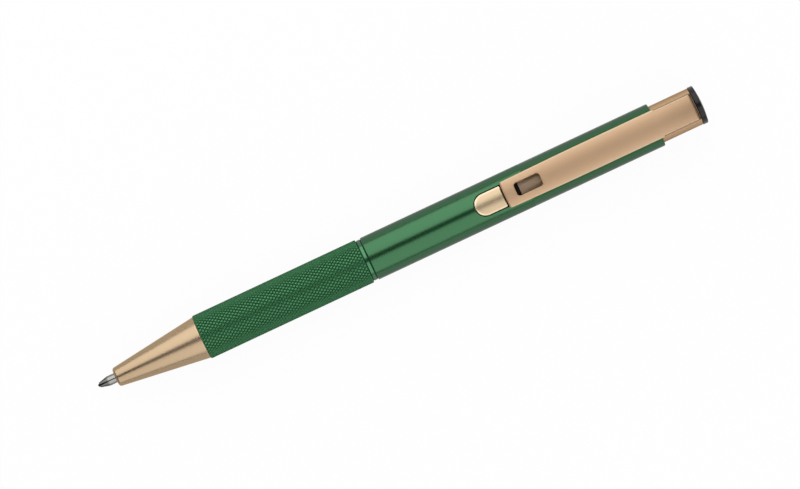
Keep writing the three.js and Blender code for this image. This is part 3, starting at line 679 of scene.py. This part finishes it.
for side in (-1, 1):
    left, right = sorted((side * (FOOT_HALF - GROOVE_LAP), side * (FOOT_HALF + GROOVE_WIDTH)))
    groove_plan = strip(foot_front, clip_high.x, left, right)
    groove = prism("groove", groove_plan, AXIS + GROOVE_FLOOR, AXIS + plunger_radius)
    combine(plunger, groove, "DIFFERENCE")
mill_plan = strip(plunger_low.x - MM, plunger_low.x + ROOF_FLAT_LENGTH,
                  -ROOF_FLAT_HALF, ROOF_FLAT_HALF)
mill = prism("mill", mill_plan, AXIS + ROOF_FLAT, AXIS + plunger_radius + MM)
combine(plunger, mill, "DIFFERENCE")
plunger.data.set_sharp_from_angle(angle=math.radians(35))
plunger_gold = Finish("plunger_gold", (0.5, 0.34, 0.21), 0.44, 1.0)
tube_blasting = plunger_gold.grain((5200, 5200, 5200), 4.0, 0.65)
# The top of the tube is painted darker, painted shade under the clip's window
roof_shade = plunger_gold.ramp(2, AXIS + ROOF_SHADE_START, AXIS + ROOF_SHADE_FULL)
plunger_gold.vary((plunger_gold.blend(roof_shade, (0.49, 0.335, 0.205), (0.33, 0.245, 0.17)),
                   plunger_gold.blend(roof_shade, (0.58, 0.42, 0.275), (0.47, 0.35, 0.255))),
                  (0.44, 0.52), tube_blasting * 0.5, tube_blasting, 0.004 * MM)
plunger_gold.put(plunger_gold.shader, {"Specular Tint": GOLD_TINT})
plunger_gold.cover(plunger)
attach(plunger, "plunger")
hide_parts("plunger_body")

# Pocket clip.
# Milled brass in one piece: a crowned plate with rounded edges and a window, a bead under
# its front half, and a foot behind the barrel that straddles the plunger. It is blasted and
# plated rose gold, painted lighter along its edges as a painted highlight, and painted darker
# towards its end slope as painted shade.
CLIP_FRONT_HALF = 2.93 * MM
CLIP_FLARE = 18.5 * MM
CLIP_LIFT = 0.5 * MM
CLIP_CROWN = 0.24 * MM
CLIP_ROUNDING = 0.3 * MM
CLIP_CORNER = 0.55 * MM
CLIP_FRONT_DROP = 0.2 * MM
CLIP_END_LENGTH = 0.75 * MM
CLIP_END_DROP = 1.0 * MM
FOOT_SHOULDER = 0.15 * MM
FOOT_BOTTOM = 2.4 * MM
SADDLE_FIT = 0.02 * MM
clip_half = half_width("clip")
clip_under = AXIS + barrel_radius + CLIP_LIFT


def clip_rings(x, half, under, top):
    """Rings of the clip, one for each x: flat below at height under, upright sides, edges
    rounded by a quarter circle, and a top that falls as top - crown (y / half)^2."""
    side = np.linspace(0, np.pi / 2, 9)
    edge_y = half[:, None] - CLIP_ROUNDING * (1 - np.cos(side))
    edge_z = (top - CLIP_CROWN - CLIP_ROUNDING)[:, None] + CLIP_ROUNDING * np.sin(side)
    over = np.linspace(1, 0, 11)[None, 1:]
    crown_y = (half[:, None] - CLIP_ROUNDING) * over
    crown_z = top[:, None] - CLIP_CROWN * over ** 2
    right_y = np.hstack([half[:, None], edge_y, crown_y])
    right_z = np.hstack([under[:, None], edge_z, crown_z])
    y = np.hstack([-right_y, right_y[:, -2::-1]])
    z = np.hstack([right_z, right_z[:, -2::-1]])
    return np.stack([x[:, None] + 0 * y, y, z], -1)


# The plate widens from its front by 1.5 f - 0.5 f^3 as f goes from 0 to 1 along the flare
corner = np.linspace(0, np.pi / 2, 9)
end_curve = np.linspace(0, np.pi / 2, 8)
plate_x = np.linspace(clip_low.x + CLIP_CORNER, foot_front, 45)[1:]
end_x = clip_high.x - CLIP_END_LENGTH * (1 - np.sin(end_curve))
clip_x = np.concatenate([
    clip_low.x + CLIP_CORNER * (1 - np.cos(corner)), plate_x, [foot_front + FOOT_SHOULDER], end_x])
front = slice(0, len(corner))
end = slice(len(clip_x) - len(end_curve), None)
foot = slice(end.start - 1, None)
flare = np.clip((clip_x - clip_low.x) / CLIP_FLARE, 0, 1)
plate_half = CLIP_FRONT_HALF + (clip_half - CLIP_FRONT_HALF) * (1.5 * flare - 0.5 * flare ** 3)
plate_half[front] -= CLIP_CORNER * (1 - np.sin(corner))
plate_half[foot] = FOOT_HALF
plate_bottom = np.full_like(clip_x, clip_under)
plate_bottom[foot] = AXIS + FOOT_BOTTOM
plate_top = np.full_like(clip_x, clip_high.z)
plate_top[front] -= CLIP_FRONT_DROP * (1 - np.sin(corner))
plate_top[end] -= CLIP_END_DROP * (1 - np.cos(end_curve))
plate = clip_rings(clip_x, plate_half, plate_bottom, plate_top)
clip = make_piece("clip_plate", plate, ringed_faces(*plate.shape[:2]), 30)


def rod(name, start, end, radius, around):
    """A solid round bar about the pen's axis, reaching a millimetre past both stations."""
    return turned(name, [(start - MM, 0), (start - MM, radius), (end + MM, radius), (end + MM, 0)],
                  False, around)


# The bead hangs down as sin^0.7 along its length, and is hollowed to clear the barrel
BEAD_SETBACK = 11.7 * MM
BEAD_LENGTH = 2.4 * MM
BEAD_HALF = 2.5 * MM
BEAD_ROOT = 0.2 * MM
BEAD_TOP = 0.3 * MM
BEAD_REACH = 0.35 * MM
BEAD_CLEARANCE = 0.1 * MM
bead_x = clip_low.x + BEAD_SETBACK + BEAD_LENGTH * np.linspace(0, 1, 17)
hang = np.sin(np.linspace(0, np.pi, len(bead_x))) ** 0.7
bead_low = clip_under + BEAD_ROOT - (CLIP_LIFT + BEAD_ROOT + BEAD_REACH) * hang
bead_high = np.full_like(bead_x, clip_under + BEAD_TOP)
bead_plan = np.column_stack([
    np.concatenate([bead_x, bead_x[::-1]]), np.concatenate([bead_low, bead_high])])
bead = prism("bead", bead_plan, -BEAD_HALF, BEAD_HALF, upright=False)
hollow = rod("hollow", bead_x[0], bead_x[-1], barrel_radius + BEAD_CLEARANCE, 128)
combine(bead, hollow, "DIFFERENCE")
combine(clip, bead, "UNION")
saddle = rod("saddle", foot_front, clip_high.x, plunger_radius + SADDLE_FIT, 192)
combine(clip, saddle, "DIFFERENCE")

WINDOW_SETBACK = 2.55 * MM
WINDOW_LENGTH = 5.85 * MM
WINDOW_HALF = 1.45 * MM
WINDOW_CORNER = 0.65 * MM
WINDOW_EDGE = 0.07 * MM
WINDOW_EDGE_ANGLE = 1.2
WINDOW_EDGE_BAND = 0.3 * MM
SLACK = 0.01 * MM
window_front = clip_low.x + WINDOW_SETBACK
window_rear = window_front + WINDOW_LENGTH
window_plan = []
for middle_x, middle_y, start in (
        (window_rear - WINDOW_CORNER, WINDOW_HALF - WINDOW_CORNER, 0),
        (window_front + WINDOW_CORNER, WINDOW_HALF - WINDOW_CORNER, 90),
        (window_front + WINDOW_CORNER, -WINDOW_HALF + WINDOW_CORNER, 180),
        (window_rear - WINDOW_CORNER, -WINDOW_HALF + WINDOW_CORNER, 270)):
    corner_round = np.radians(np.linspace(start, start + 90, 11))
    window_plan += list(zip(middle_x + WINDOW_CORNER * np.cos(corner_round),
                            middle_y + WINDOW_CORNER * np.sin(corner_round)))
combine(clip, prism("window", window_plan, AXIS, clip_high.z + MM), "DIFFERENCE")


def on_window_edge(vert):
    """Whether a point lies on the window's upper edge, or within a small slack of it."""
    return (window_front - SLACK < vert.co.x < window_rear + SLACK
            and abs(vert.co.y) < WINDOW_HALF + SLACK
            and vert.co.z > clip_high.z - WINDOW_EDGE_BAND)


# The window's upper edge is rounded over
work = bmesh.new()
work.from_mesh(clip.data)
window_edges = [
    edge for edge in work.edges
    if len(edge.link_faces) == 2 and edge.calc_face_angle() > WINDOW_EDGE_ANGLE
    and all(map(on_window_edge, edge.verts))]
bmesh.ops.bevel(work, geom=window_edges, offset=WINDOW_EDGE, segments=3, profile=0.5,
                affect="EDGES")
work.to_mesh(clip.data)
work.free()
clip.data.set_sharp_from_angle(angle=math.radians(32))

# It is painted lighter towards both long edges, a painted highlight, and painted darker a
# little over its last 8.5 mm and much more down its end slope, painted shade
FOOT_SHADE = 0.14
FOOT_SHADE_START = 8.5 * MM
FOOT_SHADE_FULL = 1 * MM
SLOPE_SHADE_START = 0.6 * MM
SLOPE_SHADE_FULL = 0.3 * MM
EDGE_HIGHLIGHT_HALF = 3 * MM
rose_gold = Finish("rose_gold", (0.52, 0.345, 0.21), 0.44, 1.0)
blasting = rose_gold.grain((5200, 5200, 5200), 4.0, 0.65)
# Lighter towards both long edges, a painted highlight
from_middle = rose_gold.ramp(1, 0, EDGE_HIGHLIGHT_HALF) + rose_gold.ramp(1, 0, -EDGE_HIGHLIGHT_HALF)
edge_highlight = rose_gold.blend(from_middle ** 6.0 * 0.8, (0.52, 0.34, 0.206), (0.57, 0.43, 0.3))
# Darker over the rear and down the end slope, painted shade
on_slope = rose_gold.ramp(
    0, clip_high.x - SLOPE_SHADE_START, clip_high.x - SLOPE_SHADE_FULL)
on_foot = rose_gold.ramp(
    0, clip_high.x - FOOT_SHADE_START, clip_high.x - FOOT_SHADE_FULL)
end_shade = on_slope * (1 - FOOT_SHADE) + on_foot * FOOT_SHADE
rose_gold.vary((rose_gold.blend(end_shade, edge_highlight, (0.13, 0.08, 0.05)),
                rose_gold.blend(end_shade, (0.6, 0.42, 0.27), (0.17, 0.11, 0.07))),
               (0.42, 0.5), blasting * 0.5, blasting, 0.004 * MM)
rose_gold.put(rose_gold.shader, {"Specular Tint": GOLD_TINT})
rose_gold.cover(clip)
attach(clip, "plunger")
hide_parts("clip")

# End cap.
# Black gloss plastic, moulded: a disc with a slight dome and a rounded edge, a little
# proud of the plunger, pressed into it by a spigot.
CAP_DOME = 0.4 * MM
CAP_DOME_INSET = 0.25 * MM
CAP_DOME_STEP = 0.02 * MM
CAP_ROUNDING = 0.2 * MM
CAP_LIP_EDGE = 0.06 * MM
CAP_FIT = 0.02 * MM
CAP_SPIGOT_EDGE = 0.1 * MM
ROUNDING_STEPS = 5
cap_low, cap_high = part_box("end_cap")
cap_radius = half_width("end_cap")
cap_edge = cap_high.x - CAP_DOME

# The last corner only leads the rounding before it on to the dome, and is left out
cap_side = rounded([
    (cap_low.x, 0, 0),
    (cap_low.x, plunger_bore - CAP_FIT, CAP_SPIGOT_EDGE),
    (plunger_high.x, plunger_bore - CAP_FIT, 0),
    (plunger_high.x, cap_radius, CAP_LIP_EDGE),
    (cap_edge, cap_radius, CAP_ROUNDING),
    (cap_edge + CAP_DOME_STEP, cap_radius - CAP_DOME_INSET, 0),
], ROUNDING_STEPS)[:-ROUNDING_STEPS - 1]
dome = np.linspace(1, 0, 14)
cap_dome = np.stack([cap_high.x - CAP_DOME * dome ** 2, (cap_radius - CAP_DOME_INSET) * dome], -1)
cap = turned("cap", np.vstack([cap_side, cap_dome]), False, 256)
gloss_black = Finish("gloss_black", (0.006, 0.006, 0.008), 0.26, 0.0)
ripple = gloss_black.grain((600, 600, 600), 3.0)
gloss_black.vary(((0.004, 0.004, 0.006), (0.008, 0.008, 0.01)), (0.22, 0.3),
                 ripple, ripple, 0.002 * MM)
gloss_black.put(gloss_black.shader, {"IOR": 1.36})
gloss_black.cover(cap)
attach(cap, "plunger")
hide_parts("end_cap")

# Release button.
# Brass tongue, turned to the barrel's curve with its edges bevelled and polished, then
# plated pale gold. Its bevel is painted much lighter, a painted highlight. It stands on the
# spring arm inside the plunger.
BUTTON_BEVEL = 0.27 * MM
BUTTON_BEVEL_DROP = 0.08 * MM
BUTTON_RIM_DROP = 0.02 * MM
BUTTON_CORNER = 0.3 * MM
LEAST_CORNER = 0.02 * MM
MIDDLE_GAP = 0.01 * MM


def tongue_outline(inset):
    """Plan of the button, one row for each inset: a half circle in front and a straight
    rear with two small corners, all moved inwards by the inset."""
    inset = inset[:, None]
    front = np.linspace(np.pi / 2, 3 * np.pi / 2, 49)[None, :]
    front_x = button_low.x + button_half + (button_half - inset) * np.cos(front)
    front_y = (button_half - inset) * np.sin(front)
    small = np.maximum(BUTTON_CORNER - inset, LEAST_CORNER)
    turn_in = np.linspace(-np.pi / 2, 0, 9)[None, :]
    rear_x = (np.maximum(button_high.x - inset - small, button_low.x + button_half)
              + small * np.cos(turn_in))
    rear_y = -(button_half - inset) + small * (1 + np.sin(turn_in))
    flat = np.linspace(-1, 1, 15)[None, 1:-1]
    flat_x = np.repeat(rear_x[:, -1:], flat.shape[1], 1)
    flat_y = flat * -rear_y[:, -1:]
    x = np.hstack([front_x, rear_x, flat_x, rear_x[:, ::-1]])
    y = np.hstack([front_y, rear_y, flat_y, -rear_y[:, ::-1]])
    return x, -y


# The rings run from the underside up the wall, over the bevel and in to the middle, and
# each point of the top lies on the barrel's curve
bevel_share = np.linspace(0, 1, 5)
top = np.linspace(BUTTON_BEVEL, button_half - MIDDLE_GAP, 12)[1:]
insets = np.concatenate([[0, 0], BUTTON_BEVEL * bevel_share, top])
tongue_x, tongue_y = tongue_outline(insets)
skin_z = AXIS + np.sqrt(np.clip(barrel_radius ** 2 - tongue_y ** 2, 0, None))
bevel_drop = BUTTON_BEVEL_DROP * (1 - np.sin(bevel_share * np.pi / 2))
sink = np.concatenate([[0, 0], bevel_drop, 0 * top])
tongue_z = skin_z - sink[:, None]
tongue_z[0] = button_low.z
tongue_z[1] = tongue_z[2] - BUTTON_RIM_DROP
tongue_points = np.stack([tongue_x, tongue_y, tongue_z], -1)
button = make_piece("button", tongue_points, ringed_faces(*tongue_points.shape[:2]), 50)
# The bevel's mark paints it much lighter than the top, a painted highlight
bevel_highlight = np.clip(1 - insets / (BUTTON_BEVEL * 1.5), 0, 1)
mark(button, "bevel", np.repeat(bevel_highlight, tongue_points.shape[1]))
pale_gold = Finish("pale_gold", (0.455, 0.352, 0.228), 0.38, 1.0)
polish = pale_gold.grain((2600, 2600, 2600), 3.0)
bevel = pale_gold.mark("bevel")
pale_gold.vary((pale_gold.blend(bevel, (0.455, 0.352, 0.222), (0.8, 0.66, 0.48)),
                pale_gold.blend(bevel, (0.495, 0.385, 0.25), (0.85, 0.72, 0.53))),
               (0.35, 0.41), polish, polish, 0.001 * MM)
pale_gold.cover(button)
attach(button, "button")
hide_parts("release_button")

# Arm of the button, and the rivets.
# Spring steel strip, blanked, with headed steel pins. The arm and the button's rivet are
# painted near black, painted shade: only a dark spot of the arm shows through the clip's
# window, so the CAD solids are kept with a finish of steel.
black_steel = Finish("black_steel", (0.02, 0.017, 0.014), 0.5, 1.0)
rolling = black_steel.grain((700, 9000, 9000), 3.0)
black_steel.vary(((0.014, 0.011, 0.009), (0.028, 0.023, 0.019)), (0.42, 0.58),
                 rolling, rolling, 0.002 * MM)
black_steel.cover(frame["nodes"]["latch_arm"], frame["nodes"]["button_rivet"])
rolled_steel = Finish("rolled_steel", (0.4, 0.4, 0.4), 0.35, 1.0)
drawing = rolled_steel.grain((700, 9000, 9000), 3.0)
rolled_steel.vary(((0.3, 0.3, 0.31), (0.48, 0.48, 0.48)), (0.3, 0.45),
                  drawing, drawing, 0.002 * MM)
rolled_steel.cover(frame["nodes"]["clip_rivet_1"], frame["nodes"]["clip_rivet_2"])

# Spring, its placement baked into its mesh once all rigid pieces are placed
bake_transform(spring)

# Table.
# A wide pale table top. It shows white and keeps a faint shadow of the pen. In the pen's
# metal it mirrors less bright far away, where the lamps don't reach.
TABLE_RADIUS = 6.0
TABLE_SIDES = 96
SEEN_WHITE = 0.95
MIRRORED_WHITE = 0.4
table_a = np.linspace(0, 2 * np.pi, TABLE_SIDES + 1)[:-1]
table_rim = TABLE_RADIUS * np.stack([np.cos(table_a), np.sin(table_a), 0 * table_a], -1)
table = make_piece("table", table_rim, [list(range(TABLE_SIDES))])
pale_paper = Finish("pale_paper", (0.8, 0.8, 0.8), 0.9, 0.0)
mottle = pale_paper.grain((40, 40, 40), 3.0)
pale_paper.vary(((0.79, 0.79, 0.79), (0.82, 0.82, 0.82)), (0.85, 0.95), mottle)
rays = pale_paper.add("ShaderNodeLightPath", {}, {})
mirrored = Value(pale_paper, rays.outputs["Is Glossy Ray"]) + rays.outputs["Is Transmission Ray"]
seen = Value(pale_paper, rays.outputs["Is Camera Ray"]) * SEEN_WHITE + mirrored * MIRRORED_WHITE
white = pale_paper.add("ShaderNodeEmission", {}, {"Color": (1, 1, 1, 1), "Strength": 1.0})
either = pale_paper.add("ShaderNodeMixShader", {}, {
    0: seen, 1: pale_paper.shader.outputs[0], 2: white.outputs[0]})
pale_paper.tree.links.new(either.outputs[0], pale_paper.tree.nodes["Material Output"].inputs[0])
pale_paper.cover(table)

# Studio light.
# Two long soft boxes hang along the pen, one on each side of the camera. The dark gap
# between them shows as the narrow dark line along every round surface. A dim low box
# beyond each end of the pen lights what faces that way.
BOX_DISTANCE = 0.62


def soft_box(name, near, far, heading, length, radiance):
    """A flat lamp that fills the angles near to far from straight up, at a heading from +Y
    towards -X, all in degrees. The power for the wished radiance is pi area radiance."""
    middle, heading = math.radians((near + far) / 2), math.radians(heading)
    width = 2 * BOX_DISTANCE * math.tan(math.radians((far - near) / 2))
    lamp = bpy.data.lights.new(name, "AREA")
    lamp.shape = "RECTANGLE"
    lamp.size, lamp.size_y = length, width
    lamp.energy = math.pi * length * width * radiance
    box = bpy.data.objects.new(name, lamp)
    out = BOX_DISTANCE * math.sin(middle)
    box.location = (-out * math.sin(heading), out * math.cos(heading),
                    BOX_DISTANCE * math.cos(middle))
    box.rotation_euler = (-middle, 0, heading)
    box.visible_camera = False
    bpy.context.scene.collection.objects.link(box)


soft_box("far_box", 12, 84, heading=0, length=0.95, radiance=2.01)
soft_box("near_box", 12, 83, heading=180, length=0.95, radiance=1.6)
soft_box("front_box", 55, 85, heading=90, length=0.6, radiance=0.7)
soft_box("rear_box", 55, 85, heading=270, length=0.6, radiance=0.7)

world = bpy.data.worlds.new("room")
bpy.context.scene.world = world
world.use_nodes = True
room = world.node_tree.nodes["Background"]
room.inputs["Color"].default_value = (0.07, 0.07, 0.07, 1)
room.inputs["Strength"].default_value = 1.0

# Camera.
# Straight above the pen with a long lens, turned so that the point shows at the lower
# left. The photograph is 800 pixels wide and shows the pen at 4.759 pixels a millimetre.
PIXELS_PER_MM = 4.759
PHOTO_WIDTH = 800
TILT = 25.1
camera_data = bpy.data.cameras.new("camera")
camera_data.lens = 200
camera_data.sensor_width = 36
view_width = PHOTO_WIDTH / PIXELS_PER_MM * MM
camera = bpy.data.objects.new("camera", camera_data)
camera.location = (0, 0, AXIS + view_width * camera_data.lens / camera_data.sensor_width)
camera.rotation_euler = (0, 0, -math.radians(TILT))
bpy.context.scene.collection.objects.link(camera)
bpy.context.scene.camera = camera
bpy.context.scene.view_settings.view_transform = "Standard"
